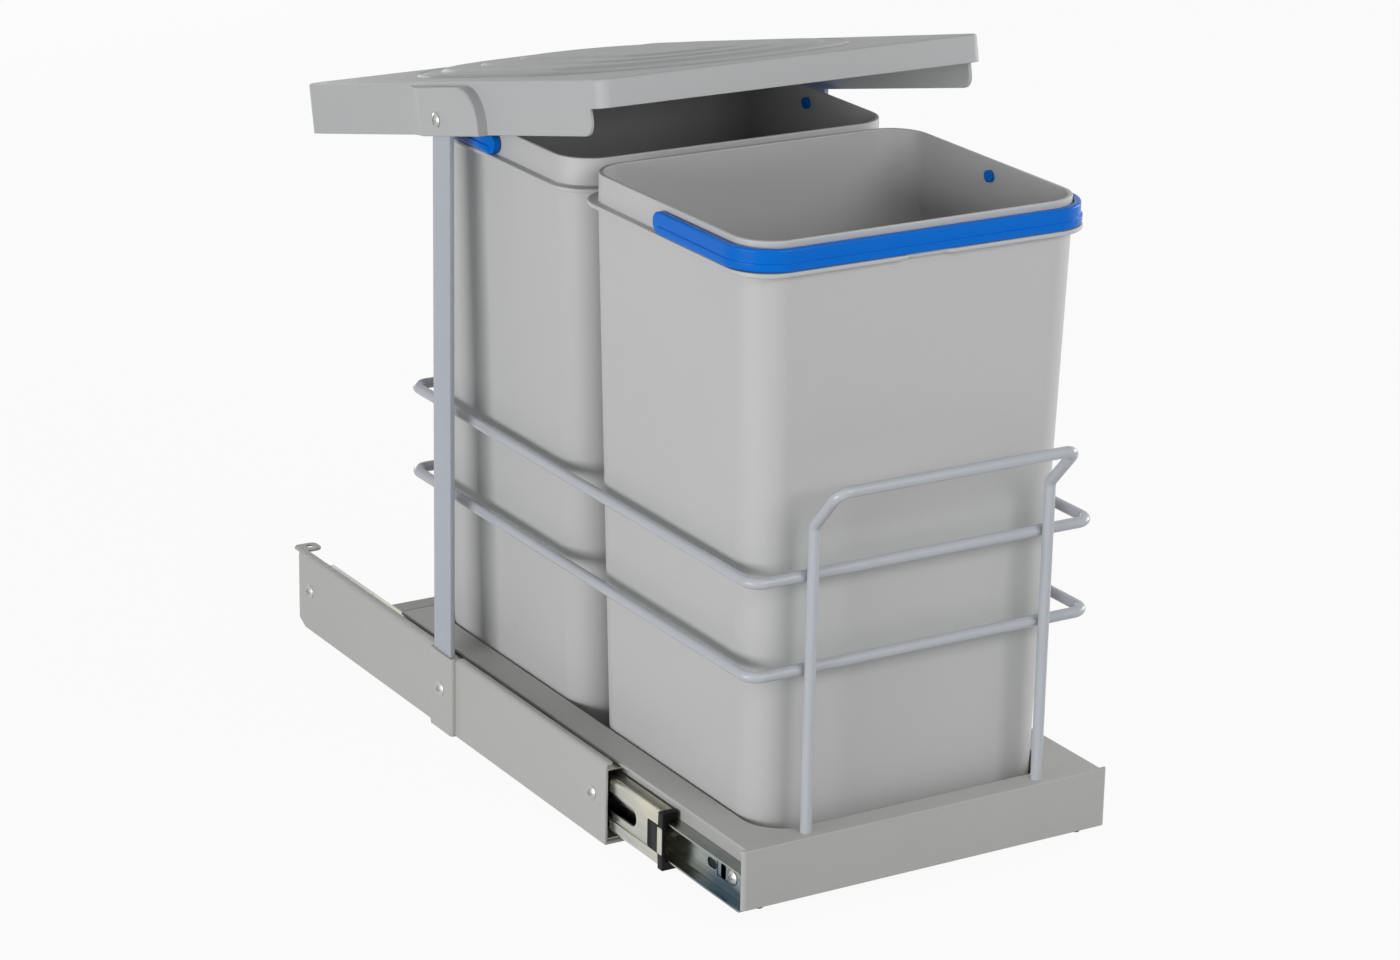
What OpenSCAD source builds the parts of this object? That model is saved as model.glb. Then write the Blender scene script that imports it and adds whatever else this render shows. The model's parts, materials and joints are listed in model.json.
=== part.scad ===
// Pull-out bin frame for a 300 mm base cabinet: two bins in a sliding tray under a tilting lid.
// Millimetres. +X right, +Y to the rear of the cabinet, +Z up; Z = 0 is the cabinet floor.
// Modelled as photographed: tray drawn part way out, lid tilted with its front edge raised.

/* [Bins] */
// width of a bin over its ledge
bin_w = 210; // [190:0.5:240]
// depth of a bin over its ledge
bin_d = 178; // [150:0.5:200]
// gap between the two bins at their ledges
bin_gap = 2; // [2:0.5:6]
// height of the ledge above the cabinet floor
ledge_z = 340.3; // [300:0.1:400]
// height of the collar above the ledge
collar_h = 15; // [13:0.5:20]
// width of the ledge outside the collar
ledge_w = 4.5; // [4:0.1:6]
// thickness of the ledge
ledge_t = 2.4; // [1.5:0.1:4]
// wall thickness of the bins
bin_t = 2; // [1.5:0.1:3]
// taper of each side wall from ledge to bottom
bin_taper_x = 11; // [8:0.5:16]
// taper of the front and rear walls from ledge to bottom
bin_taper_y = 1.5; // [1:0.1:6]
// corner radius of a bin at the ledge
bin_r = 26; // [18:0.5:34]
// length of the thumb notch in the ledge
thumb_w = 28; // [20:1:40]

/* [Bin handles] */
// height of the handle band
band_h = 11.6; // [10:0.2:12]
// thickness of the handle band
band_t = 4; // [3:0.1:5]
// play between the band and the collar
band_gap = 0.6; // [0.4:0.1:1]
// play between the band and the ledge
band_rest = 0.4; // [0.3:0.1:0.6]
// height of the bead along the band's lower edge
bead_h = 4.4; // [3:0.1:6]
// distance that the bead stands out of the band
bead_out = 0.9; // [0.4:0.1:1]
// diameter of the pivot pins
pin_d = 5; // [4:0.1:6]

/* [Tray] */
// gap between a bin's bottom and the wall of the well
well_gap = 2.5; // [2:0.1:6]
// strip of tray on each side of the well
tray_strip = 22; // [16:0.5:30]
// distance from the tray's front face to the front bin's ledge
bin_in = 19.3; // [17:0.1:26]
// distance from the rear bin's ledge to the tray's rear edge
tray_behind = 7.7; // [7:0.1:20]
// distance that the tray's edge stands out over its side walls
tray_hang = 8; // [6:0.5:9]
// height of the tray
tray_h = 33; // [28:0.5:36]
// wall thickness of the tray
tray_t = 2; // [1.5:0.1:3]
// underside of the tray above the cabinet floor
tray_z = 12.3; // [10:0.1:16]
// front face of the tray as photographed
tray_front = -312.6; // [-320:0.1:-305]
// corner radius of the well
well_r = 22; // [15:1:24]
// strip between the tray's front face and the well
well_front = 14; // [12:0.5:16]
// gap between the rear bin and the rear wall of the well
well_back = 1.5; // [1:0.1:1.7]
// width of the well the bins stand in
well_w = bin_w - 2 * ledge_w - 2 * bin_taper_x + 2 * well_gap;
// width of the tray
tray_w = well_w + 2 * tray_strip;
// depth of the tray from front to rear
tray_len = bin_in + 2 * bin_d + bin_gap + tray_behind;
// distance from one bin to the next
bin_pitch = bin_d + bin_gap;

/* [Side plates] */
// room for a slide between the tray's side wall and a side plate
slide_t = 12.5; // [12:0.1:14]
// sheet thickness of the side plates
plate_t = 1.5; // [1:0.1:2.5]
// height of the side plates
plate_h = 47; // [45:0.5:60]
// front end of the side plates
plate_front = -184; // [-200:1:-175]
// rear end of the side plates
plate_rear = 190; // [180:1:220]
// width of the flange that lies on the cabinet floor
flange_w = 26; // [22:0.5:32]
// width of the lip turned in over the rail
lip_w = 5; // [4:0.1:5.4]
// outer bend radius along the top of the plates
edge_r = 3; // [2:0.5:4]
// width of the ear at the rear of the lip
ear_w = 15; // [12:0.5:20]
// length of the ear
ear_len = 12; // [12:0.5:24]
// part of the ear behind the plate's rear end
ear_past = 9; // [6:0.5:10]
// radius of the flange's front corner
flange_r = 14; // [4:0.5:20]
// distance of the floor screw holes from the plate's outer face
floor_hole_in = 17; // [14:0.5:19]
// distance of the floor screw holes from the middle, along the slide
floor_hole_y = 150; // [100:1:155]
// diameter of the floor screw holes
floor_hole_d = 5; // [4:0.1:6]
// width of the rear tie
tie_w = 22; // [15:0.5:30]
// distance of the rear tie from the plates' rear ends
tie_in = 6; // [2:0.5:12]
// outer face to outer face of the two side plates
plate_span = tray_w - 2 * tray_hang + 2 * (slide_t + plate_t);

/* [Uprights] */
// width of the flat bar
upright_w = 20; // [16:0.5:26]
// thickness of the flat bar
upright_t = 3; // [2:0.1:4]
// side wall of the pocket pressed in the plate for the bar
pocket_wall = 3.1; // [2:0.1:5]
// play between the bar and the pocket
pocket_play = 0.4; // [0.2:0.1:0.8]
// lid pivot above the bins' rims
pivot_over = 1; // [1:0.5:12]
// height of the lid pivot above the cabinet floor
pivot_h = ledge_z + collar_h + pivot_over;
// length of the pocket
pocket_w = upright_w + 2 * (pocket_wall + pocket_play);

/* [Slides] */
// sheet thickness of the rails
rail_t = 1.2; // [1:0.1:1.3]
// length of the fixed rail
rail_len = 350; // [320:1:360]
// distance of the fixed rail from the plate's front end
rail_in = 2; // [0:0.5:6]
// play between the fixed rail and the plate's lip
rail_play = 2.8; // [2.6:0.1:4]
// length of the middle rail
middle_len = 340; // [310:1:345]
// bend radius of the middle rail's edges
middle_r = 3; // [2:0.1:3.4]
// depth of the middle rail's recessed web
web_in = 1.2; // [0.8:0.1:1.4]
// height of the middle rail's recessed web
web_h = 16; // [12:0.5:17]
// front end of the middle rail as photographed
middle_front = -233.5; // [-240:0.5:-228]
// length of the tray's rail
inner_len = 346; // [320:1:360]
// diameter of the bearing balls
ball_d = 3; // [2.6:0.1:3.4]
// play between a ball and each race
ball_play = 0.3; // [0.3:0.05:0.5]
// balls in one row
ball_count = 8; // [4:1:10]
// distance from ball to ball
ball_pitch = 13; // [8:0.5:14]
// thickness of the ball cages
cage_t = 0.8; // [0.5:0.1:1.2]
// width of the ball cages
cage_w = 4.4; // [4:0.1:4.6]
// length of the buffer on the middle rail
buffer_len = 5; // [3:0.5:8]
// height of the fixed rail
rail_h = plate_h - 2 * plate_t - rail_play;
// height of the middle rail
middle_h = rail_h - 2 * (rail_t + ball_d + 2 * ball_play);
// height of the tray's rail
inner_h = middle_h - 2 * (rail_t + ball_d + 2 * ball_play);

/* [Wire frame] */
// diameter of the wire
wire_d = 6; // [5:0.1:6.4]
// width of the pull handle from wire centre to wire centre
grip_span = 144; // [110:1:160]
// distance of the handle legs from the tray's front face
leg_in = 7; // [6:0.1:8]
// height at which the handle legs turn forward
bend_z = 211.3; // [195:0.1:230]
// height of the grip above that bend
grip_rise = 23.5; // [18:0.5:40]
// distance of the grip in front of the legs
grip_out = 21.5; // [15:0.5:30]
// bend radius at the ends of the grip
grip_r = 13; // [8:0.5:18]
// distance of the ring wire's centre outside the bins' collars
ring_out = 3.1; // [2:0.1:5]
// height of the lower ring
ring_low_z = 132.9; // [100:0.1:150]
// height of the upper ring
ring_high_z = 183.1; // [165:0.1:200]
// bend radius of the ring corners
ring_r = 26; // [15:0.5:40]
// overlap of two wires where they are welded
weld = 0.2; // [0.1:0.05:0.4]
// distance between the legs of the rear stay
stay_span = 120; // [80:1:150]
// height of the rear stay above the upper ring
stay_over = 10; // [8:0.5:20]

/* [Lid] */
// play between the lid's side skirts and the uprights
lid_gap = 1; // [0.6:0.1:2]
// run of the tray from the photographed place to closed
close_run = 108; // [104:1:112]
// front bin's collar in front of the lid when closed
lid_short = 8.8; // [0:0.1:12]
// lid behind the rear bin's ledge when closed
lid_past = 4.3; // [4:0.1:15]
// top of the lid above the pivot
lid_up = 20; // [19:0.5:26]
// side skirts below the pivot
lid_down = 9; // [6:0.5:10]
// depth of the front skirt
lid_front_skirt = 15; // [12:0.5:18]
// length of the notch at the front of the side skirts
lid_notch = 12; // [8:0.5:20]
// radius of the skirts' front corners
lid_notch_r = 7; // [3:0.5:12]
// wall thickness of the lid
lid_t = 2.2; // [1.8:0.1:3]
// tilt of the lid as photographed
lid_tilt = 12.5; // [8:0.5:14]
// pivot boss behind the pivot
boss_rear = 41; // [30:0.5:60]
// pivot boss in front of the pivot
boss_front = 46; // [40:0.5:75]
// flat part of the boss behind the pivot, before it runs out into the skirt
boss_flat = 19; // [14:0.5:26]
// play between the pivot boss and the upright
boss_play = 0.6; // [0.4:0.1:1.5]
// boss's top below the lid's top
boss_drop = 2.6; // [1:0.1:4]
// radius of the boss's upper front corner
boss_r = 20; // [8:0.5:24]
// distance of the raised field from the lid's sides
field_side = 24; // [12:0.5:40]
// distance of the raised field from the lid's ends
field_end = 29; // [12:0.5:40]
// height of the raised field
field_h = 1; // [0.5:0.1:2]
// width of a ridge on the field
ridge_w = 6; // [4:0.5:8]
// distance from one ridge to the next
ridge_step = 24; // [18:0.5:26]
// height of the ridges above the lid
ridge_h = 2.2; // [1.4:0.1:3]
// width of the lid over its side skirts
lid_w = plate_span - 2 * plate_t - 2 * lid_gap;
// lid in front of the pivot
lid_front = -(tray_front + bin_in + ledge_w + close_run) - lid_short;
// lid behind the pivot
lid_rear = tray_front + bin_in + 2 * bin_d + bin_gap + close_run + lid_past;

/* [Fasteners] */
// shank diameter of the screws
screw_d = 5; // [4:0.1:5.5]
// head diameter of the screws
head_d = 8.6; // [7:0.1:10]
// head height of the screws
head_h = 1.8; // [1.4:0.1:2]
// play under the heads of the lid pivot screws
head_play = 0.2; // [0.1:0.05:0.5]
// radial play of a hole for a fixed screw
hole_play = 0.1; // [0.05:0.05:0.3]
// radial play of a hole that turns on a pin
turn_play = 0.06; // [0.03:0.01:0.1]
// distance of the plate screws from the plates' ends
plate_screw_in = 15; // [10:0.5:25]
// height of the plate screws
plate_screw_z = 25; // [18:0.5:30]
// diameter of the tray's feet
foot_d = 5; // [4:0.1:8]
// height of the tray's feet below the tray
foot_h = 3; // [2:0.1:4]

/* [Hidden] */
plate_x = plate_span / 2;
inner_x = plate_x - plate_t;
rail_z = plate_t + rail_h / 2;
tray_x = tray_w / 2;
body_x = tray_x - tray_hang;
tray_top = tray_z + tray_h;
tray_back = tray_front + tray_len;
rail_front = plate_front + rail_in;
rail_depth = slide_t - 1.4;
middle_web = rail_t + 0.7;
middle_depth = slide_t - 2;
inner_depth = slide_t - middle_web - rail_t - 1.1;
race_out = (middle_h / 2 + rail_h / 2 - rail_t) / 2;
race_in = (inner_h / 2 + middle_h / 2 - rail_t) / 2;
cage_len = (ball_count - 1) * ball_pitch + 12;
cage_out_mid = middle_front + 195.5;
cage_in_mid = middle_front + 146.5;
inner_front = tray_front + tray_t + 0.4;
inner_screw_y = [tray_front + 20, inner_front + inner_len / 2, inner_front + inner_len - 17];
plate_screw_y = [plate_front + plate_screw_in, plate_rear - plate_screw_in];
pocket_face = inner_x + upright_t;
upright_foot = plate_t + 2;
well_x = well_w / 2;
well_y0 = tray_front + well_front;
well_y1 = tray_back - tray_behind - ledge_w - bin_taper_y + well_back;
leg_y = tray_front + leg_in;
collar_x = bin_w / 2 - ledge_w;
collar_y = bin_d / 2 - ledge_w;
collar_r = bin_r - ledge_w;
ring_x = collar_x + ring_out;
ring_y0 = leg_y + wire_d - weld;
ring_y1 = tray_back - wire_d / 2 - 0.2;
stay_y = ring_y1 - wire_d + weld;
bin_z = tray_z + tray_t;
bin_front_y = tray_front + bin_in + bin_d / 2;
bin_rear_y = bin_front_y + bin_pitch;
pin_z = ledge_z + band_rest + band_h / 2;
grip_x = grip_span / 2;
grip_tilt = atan2(grip_out, grip_rise);
grip_slant = round(100 * sqrt(pow(grip_out, 2) + pow(grip_rise, 2))) / 100;
lid_x = lid_w / 2;
boss_in = pocket_face + boss_play;
boss_x = boss_in + lid_t;
head_x = boss_x + head_play;
field_x = lid_x - field_side;
field_y0 = field_end - lid_front;
field_y1 = lid_rear - field_end;

// a box from one corner to the opposite one
module box(a, b) {
    translate(a) cube([b[0] - a[0], b[1] - a[1], b[2] - a[2]]);
}

// a rounded rectangle from one corner to the other
module plan(x0, y0, x1, y1, r) {
    square_x = x1 - x0;
    square_y = y1 - y0;
    translate([x0 + r, y0]) square([square_x - 2 * r, square_y]);
    translate([x0, y0 + r]) square([square_x, square_y - 2 * r]);
    translate([x0 + r, y0 + r]) circle(r = r, $fn = 48);
    translate([x1 - r, y0 + r]) circle(r = r, $fn = 48);
    translate([x0 + r, y1 - r]) circle(r = r, $fn = 48);
    translate([x1 - r, y1 - r]) circle(r = r, $fn = 48);
}

// a rounded block from one height to another
module slab(x0, y0, x1, y1, r, z0, z1) {
    translate([0, 0, z0]) linear_extrude(height = z1 - z0) plan(x0, y0, x1, y1, r);
}

// a rod along X from one end to the other
module rod_x(x0, x1, y, z, d) {
    translate([x0, y, z]) rotate([0, 90, 0]) cylinder(d = d, h = x1 - x0, $fn = 48);
}

// a rod along Y from one end to the other
module rod_y(y0, y1, x, z, d) {
    translate([x, y1, z]) rotate([90, 0, 0]) cylinder(d = d, h = y1 - y0, $fn = 48);
}

// a slot along Y through a web that lies square to X
module slot_x(x0, x1, y, z, len, high) {
    rod_x(x0, x1, y - len / 2 + high / 2, z, high);
    rod_x(x0, x1, y + len / 2 - high / 2, z, high);
    box([x0, y - len / 2 + high / 2, z - high / 2], [x1, y + len / 2 - high / 2, z + high / 2]);
}

// a pan-head screw on the +X side; the head sits on the face at x
module screw(x, y, z, shank) {
    translate([x, y, z]) rotate([0, 90, 0]) difference() {
        union() {
            intersection() {
                cylinder(d = head_d, h = head_h, $fn = 48);
                translate([0, 0, head_h - 7]) sphere(r = 7, $fn = 64);
            }
            translate([0, 0, -shank]) cylinder(d = screw_d, h = shank + 0.4, $fn = 48);
        }
        translate([-2.2, -0.5, head_h - 1]) cube([4.4, 1, 2]);
        translate([-0.5, -2.2, head_h - 1]) cube([1, 4.4, 2]);
    }
}

// waste outside the bend along a plate's top edge
module bend_cut(y0, y1) {
    difference() {
        box([plate_x - edge_r, y0, plate_h - edge_r], [plate_x + 1, y1, plate_h + 1]);
        rod_y(y0 - 1, y1 + 1, plate_x - edge_r, plate_h - edge_r, 2 * edge_r);
    }
}

// Right side plate: folded sheet with a floor flange, a top lip, a pressed pocket and a rear ear.
module side_plate() {
    difference() {
        union() {
            box([inner_x, plate_front, 0], [plate_x, plate_rear, plate_h]);
            difference() {
                box([plate_x - flange_w, plate_front, 0], [plate_x, plate_rear, plate_t]);
                translate([plate_x - flange_w, plate_front, 0]) difference() {
                    box([-1, -1, -1], [flange_r, flange_r, plate_t + 1]);
                    translate([flange_r, flange_r, -2]) cylinder(r = flange_r, h = plate_t + 4, $fn = 64);
                }
            }
            box([plate_x - lip_w, plate_front, plate_h - plate_t], [plate_x, plate_rear, plate_h]);
            slab(plate_x - ear_w, plate_rear + ear_past - ear_len, plate_x, plate_rear + ear_past, 4,
                plate_h - plate_t, plate_h);
            box([plate_x - 1, -pocket_w / 2, 0], [pocket_face + plate_t, pocket_w / 2, plate_h]);
        }
        // the pocket is open above for the flat bar
        box([inner_x - 1, -upright_w / 2 - pocket_play, plate_t],
            [pocket_face, upright_w / 2 + pocket_play, plate_h + 1]);
        box([plate_x - lip_w - 1, -pocket_w / 2, plate_h - plate_t], [inner_x + 0.01, pocket_w / 2, plate_h + 1]);
        bend_cut(plate_front - 1, -pocket_w / 2);
        bend_cut(pocket_w / 2, plate_rear + ear_past + 1);
        // the lip's front corner is cut at an angle
        translate([plate_x - lip_w, plate_front, plate_h - plate_t - 1]) linear_extrude(height = plate_t + 2)
            polygon([[-1, -1], [lip_w - 3, -1], [-1, 2 * (lip_w - 3) - 1]]);
        for (y = [-floor_hole_y, floor_hole_y])
            translate([plate_x - floor_hole_in, y, -1]) cylinder(d = floor_hole_d, h = plate_t + 2, $fn = 48);
        translate([plate_x - ear_w + 5.5, plate_rear + ear_past - 5.5, plate_h - plate_t - 1])
            cylinder(d = floor_hole_d, h = plate_t + 2, $fn = 48);
        for (y = plate_screw_y) rod_x(inner_x - 1, plate_x + 1, y, plate_screw_z, screw_d + 2 * hole_play);
        rod_x(inner_x - 1, pocket_face + plate_t + 1, 0, plate_screw_z, screw_d + 2 * hole_play);
    }
}
module right_side_plate() color([0.62, 0.62, 0.6]) side_plate();
module left_side_plate() color([0.62, 0.62, 0.6]) mirror([1, 0, 0]) side_plate();

// Rear tie: a flat strip screwed across the two floor flanges, under the tray.
module rear_tie() color([0.62, 0.62, 0.6]) {
    tie_x = inner_x - rail_depth - 1;
    box([-tie_x, plate_rear - tie_in - tie_w, plate_t], [tie_x, plate_rear - tie_in, 2 * plate_t]);
}

// Right upright: a flat bar with a round head drilled for the lid pivot.
module upright() {
    difference() {
        union() {
            box([inner_x, -upright_w / 2, upright_foot], [pocket_face, upright_w / 2, pivot_h]);
            rod_x(inner_x, pocket_face, 0, pivot_h, upright_w);
        }
        rod_x(inner_x - 1, pocket_face + 1, 0, pivot_h, screw_d + 2 * hole_play);
        rod_x(inner_x - 1, pocket_face + 1, 0, plate_screw_z, screw_d + 2 * hole_play);
    }
}
module right_upright() color([0.6, 0.61, 0.65]) upright();
module left_upright() color([0.6, 0.61, 0.65]) mirror([1, 0, 0]) upright();

// one C-shaped rail: web at x from the plate, arms towards the tray when way is -1
module channel(web_x, way, high, depth, y0, y1) {
    x1 = web_x + way * depth;
    lo = min(web_x, x1);
    hi = max(web_x, x1);
    web_lo = min(web_x, web_x + way * rail_t);
    web_hi = max(web_x, web_x + way * rail_t);
    box([web_lo, y0, rail_z - high / 2], [web_hi, y1, rail_z + high / 2]);
    box([lo, y0, rail_z - high / 2], [hi, y1, rail_z - high / 2 + rail_t]);
    box([lo, y0, rail_z + high / 2 - rail_t], [hi, y1, rail_z + high / 2]);
}

// Right fixed rail: C section screwed to the side plate, with short retaining lips.
module outer_rail() {
    tip = inner_x - rail_depth;
    difference() {
        union() {
            channel(inner_x, -1, rail_h, rail_depth, rail_front, rail_front + rail_len);
            for (s = [-1, 1]) {
                edge = rail_z + s * (rail_h / 2 - rail_t);
                box([tip, rail_front, min(edge, edge - s)], [tip + rail_t, rail_front + rail_len, max(edge, edge - s)]);
            }
        }
        for (y = plate_screw_y) rod_x(inner_x - 3, inner_x + 1, y, plate_screw_z, screw_d + 2 * hole_play);
        rod_x(inner_x - 3, inner_x + 1, 0, plate_screw_z, screw_d + 2 * hole_play);
        slot_x(inner_x - 3, inner_x + 1, -90, rail_z, 30, 7);
        slot_x(inner_x - 3, inner_x + 1, 90, rail_z, 30, 7);
    }
}
module right_outer_rail() color([0.75, 0.75, 0.7]) outer_rail();
module left_outer_rail() color([0.75, 0.75, 0.7]) mirror([1, 0, 0]) outer_rail();

// outline of a C section with round edges: web at 0, arms along +X
module c_outline(depth, high, r) {
    translate([r, -high / 2]) square([depth - r, high]);
    translate([0, -high / 2 + r]) square([depth, high - 2 * r]);
    for (s = [-1, 1]) translate([r, s * (high / 2 - r)]) circle(r = r, $fn = 48);
}

// section of the middle rail: two round beads above and below a recessed web
module middle_section() {
    depth = middle_depth - middle_web;
    difference() {
        union() {
            difference() {
                c_outline(depth, middle_h, middle_r);
                translate([rail_t, 0]) c_outline(depth, middle_h - 2 * rail_t, middle_r - rail_t);
            }
            translate([rail_t / 2, -web_h / 2 - rail_t]) square([web_in + rail_t / 2, web_h + 2 * rail_t]);
        }
        translate([-1, -web_h / 2]) square([1 + web_in, web_h]);
    }
}

// Right middle rail: C section that rolls inside the fixed rail, with slots in its web.
module middle_rail() {
    face = inner_x - middle_web;
    y1 = middle_front + middle_len;
    difference() {
        translate([face, y1, rail_z]) rotate([90, 0, 0]) linear_extrude(height = middle_len)
            mirror([1, 0]) middle_section();
        slot_x(face - 3, face + 1, middle_front + 52, rail_z + 1, 54, 10);
        slot_x(face - 3, face + 1, middle_front + 8, rail_z - 5, 8, 4);
        slot_x(face - 3, face + 1, y1 - 190, rail_z, 60, 11);
        slot_x(face - 3, face + 1, y1 - 80, rail_z, 60, 11);
    }
}
module right_middle_rail() color([0.75, 0.75, 0.7]) middle_rail();
module left_middle_rail() color([0.75, 0.75, 0.7]) mirror([1, 0, 0]) middle_rail();

// Right end piece: a black buffer that closes the middle rail's front end round the tray's rail.
module middle_end() {
    face = inner_x - middle_web;
    difference() {
        box([inner_x - middle_depth - 0.2, middle_front - buffer_len, rail_z - middle_h / 2 - 0.4],
            [face + 0.4, middle_front, rail_z + middle_h / 2 + 0.4]);
        box([inner_x - slide_t - 1, middle_front - buffer_len - 1, rail_z - inner_h / 2 - 0.4],
            [face - rail_t - 0.6, middle_front + 1, rail_z + inner_h / 2 + 0.4]);
    }
    // a tongue runs back in the web's recess
    box([face - web_in, middle_front - 1, rail_z - web_h / 2 + 0.3],
        [face, middle_front + buffer_len, rail_z + web_h / 2 - 0.3]);
}
module right_middle_end() color([0.06, 0.06, 0.07]) middle_end();
module left_middle_end() color([0.06, 0.06, 0.07]) mirror([1, 0, 0]) middle_end();

// one row of balls held in a thin strip
module ball_row(x, z, mid) {
    box([x - cage_w / 2, mid - cage_len / 2, z - cage_t / 2], [x + cage_w / 2, mid + cage_len / 2, z + cage_t / 2]);
    for (i = [0 : ball_count - 1])
        translate([x, mid + (i - (ball_count - 1) / 2) * ball_pitch, z]) sphere(d = ball_d, $fn = 48);
}

// Right outer cage: two strips of balls between the fixed rail and the middle rail.
module outer_cage() {
    x = inner_x - (middle_web + middle_depth) / 2;
    ball_row(x, rail_z + race_out, cage_out_mid);
    ball_row(x, rail_z - race_out, cage_out_mid);
}
module right_outer_cage() color([0.7, 0.7, 0.72]) outer_cage();
module left_outer_cage() color([0.7, 0.7, 0.72]) mirror([1, 0, 0]) outer_cage();

// Right inner cage: two strips of balls between the middle rail and the tray's rail.
module inner_cage() {
    x = (inner_x - middle_depth + body_x + inner_depth) / 2;
    ball_row(x, rail_z + race_in, cage_in_mid);
    ball_row(x, rail_z - race_in, cage_in_mid);
}
module right_inner_cage() color([0.7, 0.7, 0.72]) inner_cage();
module left_inner_cage() color([0.7, 0.7, 0.72]) mirror([1, 0, 0]) inner_cage();

// Right inner rail: C section screwed to the tray's side, open towards the plate.
module inner_rail() {
    difference() {
        channel(body_x, 1, inner_h, inner_depth, inner_front, inner_front + inner_len);
        for (y = inner_screw_y) rod_x(body_x - 1, body_x + 3, y, rail_z, screw_d + 2 * hole_play);
        slot_x(body_x - 1, body_x + 3, inner_front + 26.5, rail_z, 5, 8);
        slot_x(body_x - 1, body_x + 3, inner_front + 38, rail_z, 9, 5);
        slot_x(body_x - 1, body_x + 3, inner_front + 120, rail_z, 40, 6);
        slot_x(body_x - 1, body_x + 3, inner_front + inner_len - 96, rail_z, 40, 6);
    }
}
module right_inner_rail() color([0.75, 0.75, 0.7]) inner_rail();
module left_inner_rail() color([0.75, 0.75, 0.7]) mirror([1, 0, 0]) inner_rail();

// Plate screws: four pan-head screws that hold the fixed rails to the plates.
module plate_screws() color([0.8, 0.8, 0.8]) {
    for (y = plate_screw_y) {
        screw(plate_x, y, plate_screw_z, plate_t + rail_t);
        mirror([1, 0, 0]) screw(plate_x, y, plate_screw_z, plate_t + rail_t);
    }
}

// Upright screws: one through each pocket, bar and fixed rail.
module upright_screws() color([0.8, 0.8, 0.8]) {
    long = plate_t + upright_t + rail_t;
    screw(pocket_face + plate_t, 0, plate_screw_z, long);
    mirror([1, 0, 0]) screw(pocket_face + plate_t, 0, plate_screw_z, long);
}

// Lid pivot screws: fixed in the bars' heads; the lid turns on their shanks.
module lid_pivot_screws() color([0.8, 0.8, 0.8]) {
    long = head_x - lid_x + lid_t + 1;
    screw(head_x, 0, pivot_h, long);
    mirror([1, 0, 0]) screw(head_x, 0, pivot_h, long);
}

// Inner rail screws: three a side, heads in the rail's channel.
module inner_rail_screws() color([0.8, 0.8, 0.8]) {
    for (y = inner_screw_y) {
        screw(body_x + rail_t, y, rail_z, rail_t + tray_t + 1);
        mirror([1, 0, 0]) screw(body_x + rail_t, y, rail_z, rail_t + tray_t + 1);
    }
}

// Tray: a folded sheet with an overhanging edge, a front panel and a round-cornered well for the bins.
module tray() color([0.62, 0.62, 0.6]) {
    wall_y = tray_back - tray_hang;
    difference() {
        union() {
            slab(-tray_x, tray_front, tray_x, tray_back, 3, tray_top - tray_t, tray_top);
            intersection() {
                slab(-tray_x, tray_front, tray_x, tray_back, 3, tray_z, tray_top - tray_t / 2);
                box([-tray_x - 1, tray_front - 1, tray_z - 1], [tray_x + 1, tray_front + tray_t, tray_top]);
            }
            for (x = [-body_x, body_x - tray_t])
                box([x, tray_front + tray_t / 2, tray_z], [x + tray_t, wall_y, tray_top - tray_t / 2]);
            box([-body_x, wall_y - tray_t, tray_z], [body_x, wall_y, tray_top - tray_t / 2]);
            slab(-well_x - tray_t, well_y0 - tray_t, well_x + tray_t, well_y1 + tray_t, well_r + tray_t,
                tray_z, tray_top - tray_t / 2);
        }
        slab(-well_x, well_y0, well_x, well_y1, well_r, bin_z, tray_top + 1);
        for (y = inner_screw_y) {
            rod_x(-body_x - 1, -body_x + tray_t + 1, y, rail_z, screw_d + 2 * hole_play);
            rod_x(body_x - tray_t - 1, body_x + 1, y, rail_z, screw_d + 2 * hole_play);
        }
    }
}

// Tray feet: four plugs pressed into the underside at the corners.
module tray_feet() color([0.3, 0.3, 0.31]) {
    for (x = [-body_x + 6.5, body_x - 6.5], y = [tray_front + 7, tray_back - tray_hang - 7]) {
        translate([x, y, tray_z - foot_h]) cylinder(d = foot_d, h = foot_h, $fn = 32);
        translate([x, y, tray_z]) cylinder(d = foot_d + 1, h = tray_h - tray_t, $fn = 32);
    }
}

// Pull handle: one bent wire welded to the tray, legs upright and grip leaning forward.
module pull_handle() color([0.66, 0.67, 0.72]) {
    for (x = [-grip_x, grip_x]) {
        translate([x, leg_y, tray_top]) cylinder(d = wire_d, h = bend_z - tray_top, $fn = 48);
        translate([x, leg_y, bend_z]) sphere(d = wire_d + 0.1, $fn = 64);
    }
    translate([0, leg_y, bend_z]) rotate([grip_tilt, 0, 0]) wire_arch(grip_x, grip_slant, grip_r);
}

// an upside-down U of wire in the XZ plane, from Z = 0 up
module wire_arch(half, top, r) {
    for (x = [-half, half]) translate([x, 0, 0]) cylinder(d = wire_d, h = top - r, $fn = 48);
    for (s = [0, 1]) mirror([s, 0, 0]) translate([half - r, 0, top - r]) rotate([90, 0, 0])
        rotate_extrude(angle = 90, $fn = 96) translate([r, 0]) circle(d = wire_d, $fn = 48);
    rod_x(-half + r, half - r, 0, top, wire_d);
}

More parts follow.
